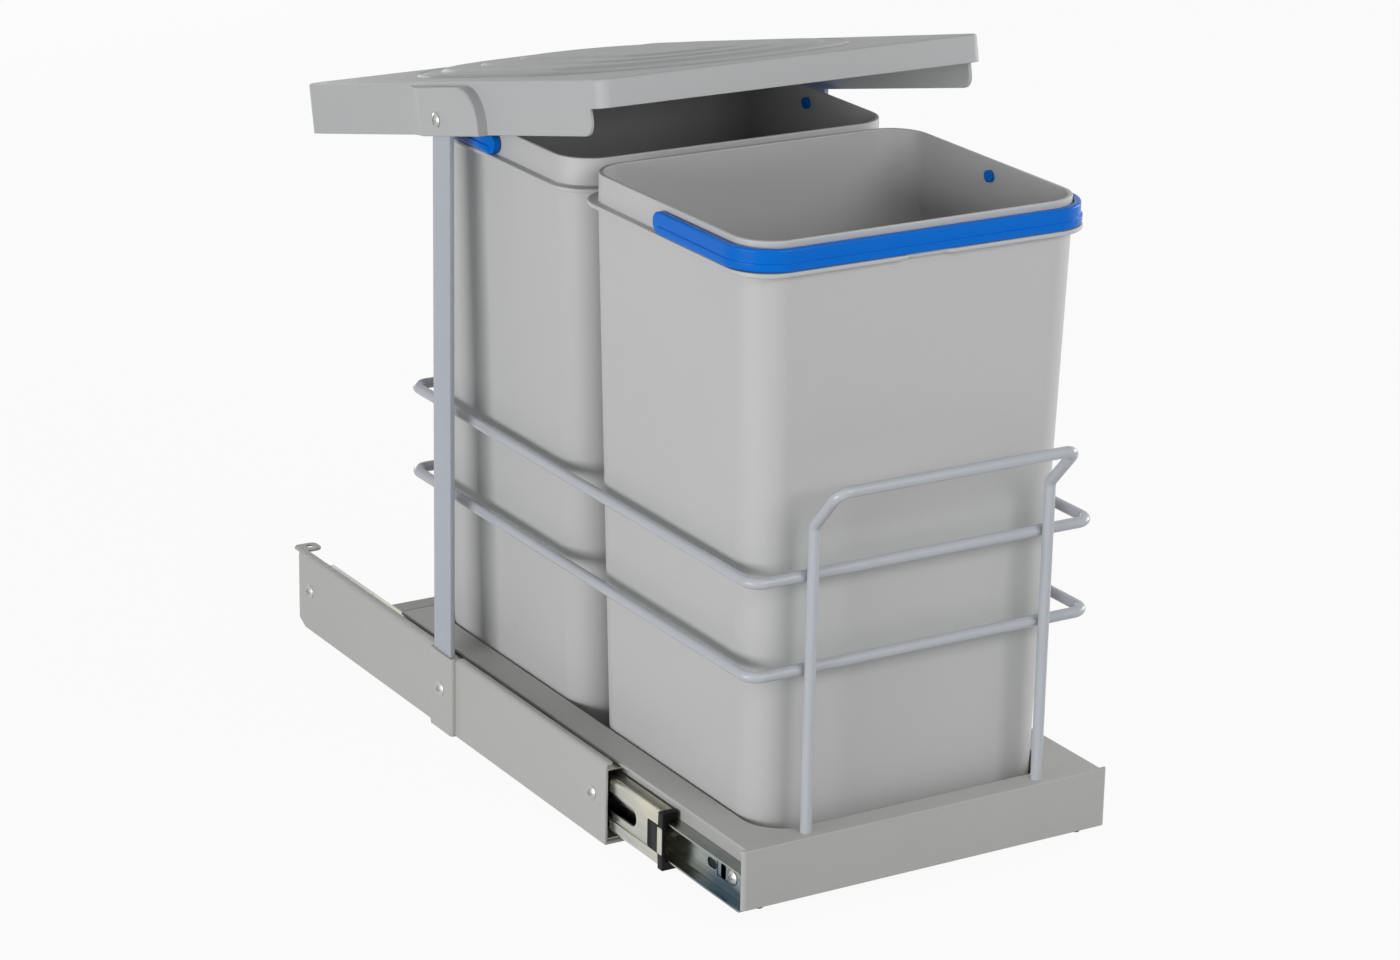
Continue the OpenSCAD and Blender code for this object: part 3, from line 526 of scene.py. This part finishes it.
for node in ("upper_ring", "lower_ring"):
    low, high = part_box(node)
    x = high[0] - WIRE_R
    front = low[1] + WIRE_R
    back = high[1] - WIRE_R
    z = (low[2] + high[2]) / 2
    corners = ((-x, front, z), (x, front, z), (x, back, z), (-x, back, z))
    bent_wire(node, [(corner, RING_BEND) for corner in corners], True)
handle_path = [((-GRIP_X, LEG_Y, LEG_Z), 0), ((-GRIP_X, LEG_Y, BEND_Z), LEG_BEND),
               ((-GRIP_X, GRIP_Y, GRIP_Z), GRIP_BEND), ((GRIP_X, GRIP_Y, GRIP_Z), GRIP_BEND),
               ((GRIP_X, LEG_Y, BEND_Z), LEG_BEND), ((GRIP_X, LEG_Y, LEG_Z), 0)]
bent_wire("pull_handle", handle_path, False)
dressed("rear_stay", wire_coat, 0)


# Bins: tapered polypropylene mouldings, light grey with a fine grain. Each has a ledge under a collar,
# and stands in the well of the tray.
BIN_X = 100.5 * MM
BIN_Y = 84.5 * MM
BIN_R = 21.5 * MM
BIN_LOW = 14.3 * MM
BIN_WALL = 2 * MM
TAPER_X = 11 * MM
TAPER_Y = 1.5 * MM
LEDGE_Z = 340.3 * MM
LEDGE_T = 2.4 * MM
LEDGE_W = 4.5 * MM
COLLAR_H = 15 * MM
THUMB_W = 34 * MM
THUMB_FLOOR_W = 23.92 * MM
THUMB_IN = 1.6 * MM
BIN_EDGE = 0.7 * MM
BIN_CORNER_SEGMENTS = 14


def draw_rim(middle, start, end, rise):
    """Extrudes the selected rim to another half width and depth, and up by a rise."""
    bpy.ops.mesh.extrude_region()
    share = (end[0] / start[0], end[1] / start[1], 1)
    bpy.ops.transform.resize(value=share, center_override=(0, middle, 0))
    bpy.ops.transform.translate(value=(0, 0, rise))


def cut_thumb_notch(piece, edge, inward):
    """A shallow notch with slanting ends in the middle of the ledge, for the fingers under the handle."""
    middle = LEDGE_Z - LEDGE_T / 2
    low = (-THUMB_W / 2, edge - THUMB_IN, middle - 1.5 * LEDGE_T)
    high = (THUMB_W / 2, edge + THUMB_IN, middle + 1.5 * LEDGE_T)
    cutter = block("thumb_notch", low, high)
    pick(cutter, lambda vert: (vert.co.y - edge) * inward > 0, "VERT")
    bpy.ops.transform.resize(value=(THUMB_FLOOR_W / THUMB_W, 1, 1))
    carve(piece, cutter)


def moulded_bin(name, middle, front):
    """A tapered bin, with its ledge, collar and inner wall drawn from the rim one after the other."""
    top = LEDGE_Z - LEDGE_T
    outer = (BIN_X, BIN_Y)
    ledge = (BIN_X + LEDGE_W, BIN_Y + LEDGE_W)
    inner = (BIN_X - BIN_WALL, BIN_Y - BIN_WALL)
    foot = (BIN_X - TAPER_X - BIN_WALL, BIN_Y - TAPER_Y - BIN_WALL)
    piece = block(name, (-BIN_X, middle - BIN_Y, BIN_LOW), (BIN_X, middle + BIN_Y, top))
    pick(piece, lambda edge: abs(edge.verts[0].co.z - edge.verts[1].co.z) > NEAR, "EDGE")
    round_edges(BIN_R, BIN_CORNER_SEGMENTS)
    pick(piece, lambda vert: vert.co.z < BIN_LOW + NEAR, "VERT")
    share = ((BIN_X - TAPER_X) / BIN_X, (BIN_Y - TAPER_Y) / BIN_Y, 1)
    bpy.ops.transform.resize(value=share, center_override=(0, middle, BIN_LOW))
    pick(piece, lambda face: face.normal.z > 0.9, "FACE")
    bpy.ops.mesh.delete(type="ONLY_FACE")
    pick(piece, lambda edge: min(vert.co.z for vert in edge.verts) > top - NEAR, "EDGE")
    draw_rim(middle, outer, ledge, 0)
    draw_rim(middle, ledge, ledge, LEDGE_T)
    draw_rim(middle, ledge, outer, 0)
    draw_rim(middle, outer, outer, COLLAR_H)
    draw_rim(middle, outer, inner, 0)
    draw_rim(middle, inner, inner, -COLLAR_H - LEDGE_T)
    draw_rim(middle, inner, foot, BIN_LOW + BIN_WALL - top)
    bpy.ops.mesh.edge_face_add()
    bpy.ops.mesh.select_all(action="SELECT")
    bpy.ops.mesh.normals_make_consistent(inside=False)
    deselect()
    cut_thumb_notch(piece, middle + front * ledge[1], -front)
    soften(piece, BIN_EDGE, 3, angle=30)
    return piece


bin_plastic = moulded("bin_plastic", (0.46, 0.465, 0.46), (0.5, 0.505, 0.5), 0.46, 1100, 0.00007)
FRONT_BIN_Y = -204.3 * MM
REAR_BIN_Y = -24.3 * MM
finish_piece(moulded_bin("front_bin_moulding", FRONT_BIN_Y, -1), "front_bin", bin_plastic)
finish_piece(moulded_bin("rear_bin_moulding", REAR_BIN_Y, 1), "rear_bin", bin_plastic)


# Bin handles: glossy blue polypropylene bails that swing on pins in the collar, with a full round upper
# edge and a bead along the lower one. The rear bin stands turned about, with its handle to the rear.
BAND_LOW = 340.7 * MM
BAND_TOP = 352.3 * MM
BAND_ROUND = 1.3 * MM
BAIL_EDGE = 0.35 * MM
SOFT_SEGMENTS = 4
# turn between two faces, in radians, past which an edge counts as square
SQUARE_TURN = 1
blue_plastic = moulded("blue_plastic", (0.0, 0.132, 0.56), (0.0, 0.152, 0.64), 0.22, 900, 0.000006,
                       shine=0.1)


def band_edge(edge):
    """True for the square edges along the top and the foot of the band."""
    heights = [vert.co.z for vert in edge.verts]
    outer = min(heights) > BAND_TOP - NEAR or max(heights) < BAND_LOW + NEAR
    return outer and edge.calc_face_angle(0) > SQUARE_TURN


for node in ("front_bin_handle", "rear_bin_handle"):
    bail = merged(node)
    pick(bail, band_edge, "EDGE")
    round_edges(BAND_ROUND, SOFT_SEGMENTS, clamp_overlap=False, loop_slide=False)
    soften(bail, BAIL_EDGE, 2)
    finish_piece(bail, node, blue_plastic)


# Lid: one grey moulding that hangs on the uprights by two bosses, with well-rounded outer edges. Its top
# carries a low oval dome in three soft steps, which is moulded with it.
LID_TILT = math.radians(12.5)
PIVOT_Z = 356.3 * MM
LID_UP = 20 * MM
LID_ROUND = 1.5 * MM
LID_EDGE = 0.5 * MM
BOSS_X = 124.3 * MM
BOSS_TURN = 0.2
PIVOT_CLEAR = 6 * MM
FIELD_X = 93.5 * MM
FIELD_Y = 145.5 * MM
FIELD_MIDDLE = 2.5 * MM
DOME_SIDES = 96
DOME_SUNK = 0.4 * MM
DOME_RIM = 0.45 * MM
lid_plastic = moulded("lid_plastic", (0.42, 0.425, 0.43), (0.47, 0.475, 0.48), 0.5, 1000, 0.00007,
                      shine=0.25)


def lid_height(point):
    """Height over the pivot, square to the lid."""
    return point.y * math.sin(LID_TILT) + (point.z - PIVOT_Z) * math.cos(LID_TILT)


def lid_round(edge):
    """True for the square edges of the lid's top and for the edges of the bosses, but not of their holes."""
    turn = edge.calc_face_angle(0)
    heights = [lid_height(vert.co) for vert in edge.verts]
    top = min(heights) > LID_UP - NEAR and max(heights) < LID_UP + NEAR
    boss = min(abs(vert.co.x) for vert in edge.verts) > BOSS_X - NEAR
    hole = max(math.hypot(vert.co.y, vert.co.z - PIVOT_Z) for vert in edge.verts) < PIVOT_CLEAR
    return top and turn > SQUARE_TURN or boss and not hole and turn > BOSS_TURN


lid = merged("lid")
pick(lid, lid_round, "EDGE")
round_edges(LID_ROUND, SOFT_SEGMENTS, clamp_overlap=False, loop_slide=False)
soften(lid, LID_EDGE, 2)
finish_piece(lid, "lid", lid_plastic)

deselect()
bpy.ops.mesh.primitive_circle_add(vertices=DOME_SIDES, radius=FIELD_X, fill_type="NGON", location=(0, 0, 0))
dome = bpy.context.object
dome.name = "lid_dome"
pick(dome, lambda vert: True, "VERT")
bpy.ops.transform.rotate(value=math.pi / DOME_SIDES, orient_axis="Z")
pick(dome, lambda vert: vert.co.y > 0, "VERT")
bpy.ops.transform.translate(value=(0, FIELD_MIDDLE + FIELD_Y - FIELD_X, LID_UP - DOME_SUNK))
pick(dome, lambda vert: vert.co.z < NEAR, "VERT")
bpy.ops.transform.translate(value=(0, FIELD_MIDDLE + FIELD_X - FIELD_Y, LID_UP - DOME_SUNK))
pick(dome, lambda face: True, "FACE")
bpy.ops.mesh.extrude_region()
bpy.ops.transform.translate(value=(0, 0, DOME_RIM))
# each step of the dome: how far in and how far up, in millimetres
EDGE_STEP = [(0.8, 0.3), (1, 0.6), (1.2, 0.45), (1.5, 0.15), (6, 0.05)]
TALL_STEP = [(1, -0.2), (0.8, 0.1), (1, 0.75), (1.2, 0.65), (1.5, 0.2), (17, 0.05)]
LOW_STEP = [(1, -0.2), (0.8, 0.1), (1, 0.55), (1.2, 0.45), (1.5, 0.15), (17, 0.05)]
LAST_STEP = LOW_STEP[:-1]
for inward, upward in EDGE_STEP + TALL_STEP + LOW_STEP + LAST_STEP:
    bpy.ops.mesh.inset(thickness=inward * MM, depth=upward * MM)
bpy.ops.mesh.select_all(action="SELECT")
bpy.ops.mesh.normals_make_consistent(inside=False)
deselect()
dome.data.transform(Matrix.Translation((0, 0, PIVOT_Z)) @ Matrix.Rotation(-LID_TILT, 4, "X"))
soften(dome, 0, 0, angle=50)
dome.data.materials.append(lid_plastic)
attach(dome, body_of("lid"))


# Floor, light and camera: a plain white floor that keeps the shadow, soft low light from all four sides,
# most of it from the left, and a camera at the photograph's viewing angle.
def seen_ray(tree):
    """One for what the camera, a mirror or clear glass sees, nought for the light itself."""
    path = tree.nodes.new("ShaderNodeLightPath")
    total = tree.nodes.new("ShaderNodeMath")
    total.operation = "ADD"
    tree.links.new(path.outputs["Is Camera Ray"], total.inputs[0])
    tree.links.new(path.outputs["Is Glossy Ray"], total.inputs[1])
    share = tree.nodes.new("ShaderNodeMath")
    share.operation = "ADD"
    share.use_clamp = True
    tree.links.new(total.outputs[0], share.inputs[0])
    tree.links.new(path.outputs["Is Transmission Ray"], share.inputs[1])
    return share


FLOOR_GLOW = 0.94
FLOOR_SIZE = 14
FLOOR_Z = -0.5 * MM
ground = Finish("studio_floor_white", Base_Color=(0.5, 0.5, 0.5, 1), Roughness=0.9)
glow = ground.tree.nodes.new("ShaderNodeEmission")
part = ground.tree.nodes.new("ShaderNodeMath")
part.operation = "MULTIPLY"
part.inputs[1].default_value = FLOOR_GLOW
ground.tree.links.new(seen_ray(ground.tree).outputs[0], part.inputs[0])
mixed = ground.tree.nodes.new("ShaderNodeMixShader")
ground.tree.links.new(part.outputs[0], mixed.inputs[0])
ground.tree.links.new(ground.shader.outputs[0], mixed.inputs[1])
ground.tree.links.new(glow.outputs[0], mixed.inputs[2])
ground.tree.links.new(mixed.outputs[0], ground.tree.nodes["Material Output"].inputs["Surface"])
deselect()
bpy.ops.mesh.primitive_plane_add(size=FLOOR_SIZE, location=(0, 0, FLOOR_Z))
floor = bpy.context.object
floor.name = "studio_floor"
floor.data.materials.append(ground.material)

SKY_LIGHT = 0.26
world = bpy.data.worlds.new("studio")
bpy.context.scene.world = world
world.use_nodes = True
sky = world.node_tree.nodes["Background"]
sky.inputs["Color"].default_value = (1, 1, 1, 1)
strength = world.node_tree.nodes.new("ShaderNodeMapRange")
strength.inputs["To Min"].default_value = SKY_LIGHT
strength.inputs["To Max"].default_value = 1
world.node_tree.links.new(seen_ray(world.node_tree).outputs[0], strength.inputs["Value"])
world.node_tree.links.new(strength.outputs[0], sky.inputs["Strength"])


def lamp(name, place, aim, size, power):
    """A soft box at a place, turned to the point that it lights; lengths in metres, power in watts."""
    data = bpy.data.lights.new(name, "AREA")
    data.shape = "RECTANGLE"
    data.size = size[0]
    data.size_y = size[1]
    data.energy = power
    light = bpy.data.objects.new(name, data)
    bpy.context.scene.collection.objects.link(light)
    light.location = place
    way = [aim[i] - place[i] for i in range(3)]
    flat = math.hypot(way[0], way[1])
    light.rotation_euler = (math.atan2(flat, -way[2]), 0, math.atan2(-way[0], way[1]))


lamp("left_softbox", place=(-2.6, -0.7, 0.45), aim=(0, -0.1, 0.25), size=(1.8, 0.8), power=44)
lamp("front_softbox", place=(0.3, -1.6, 1.0), aim=(0, -0.3, 0.25), size=(1.0, 0.7), power=11.5)
lamp("right_softbox", place=(2.5, -0.3, 0.45), aim=(0, -0.1, 0.25), size=(1.4, 0.7), power=24)
lamp("back_softbox", place=(0.2, 2.6, 0.42), aim=(0, 0, 0.2), size=(1.4, 0.4), power=12)

# position, turn and lens fitted to the photograph
AZIMUTH = math.radians(-31.3285)
ELEVATION = math.radians(19.0787)
ROLL = math.radians(1.0982)
CAMERA_PLACE = (-1.11173, -1.90341, 0.89333)
LENS = 104.5958
SENSOR_WIDTH = 36
VIEW_END = 50
camera_data = bpy.data.cameras.new("photo_camera")
camera = bpy.data.objects.new("photo_camera", camera_data)
bpy.context.scene.collection.objects.link(camera)
camera_data.sensor_width = SENSOR_WIDTH
camera_data.lens = LENS
camera_data.clip_end = VIEW_END
camera.location = CAMERA_PLACE
camera.rotation_mode = "QUATERNION"
turn = Quaternion((0, 0, 1), AZIMUTH)
turn = turn @ Quaternion((1, 0, 0), math.pi / 2 - ELEVATION)
camera.rotation_quaternion = turn @ Quaternion((0, 0, 1), ROLL)
bpy.context.scene.camera = camera
bpy.context.scene.view_settings.view_transform = "Standard"
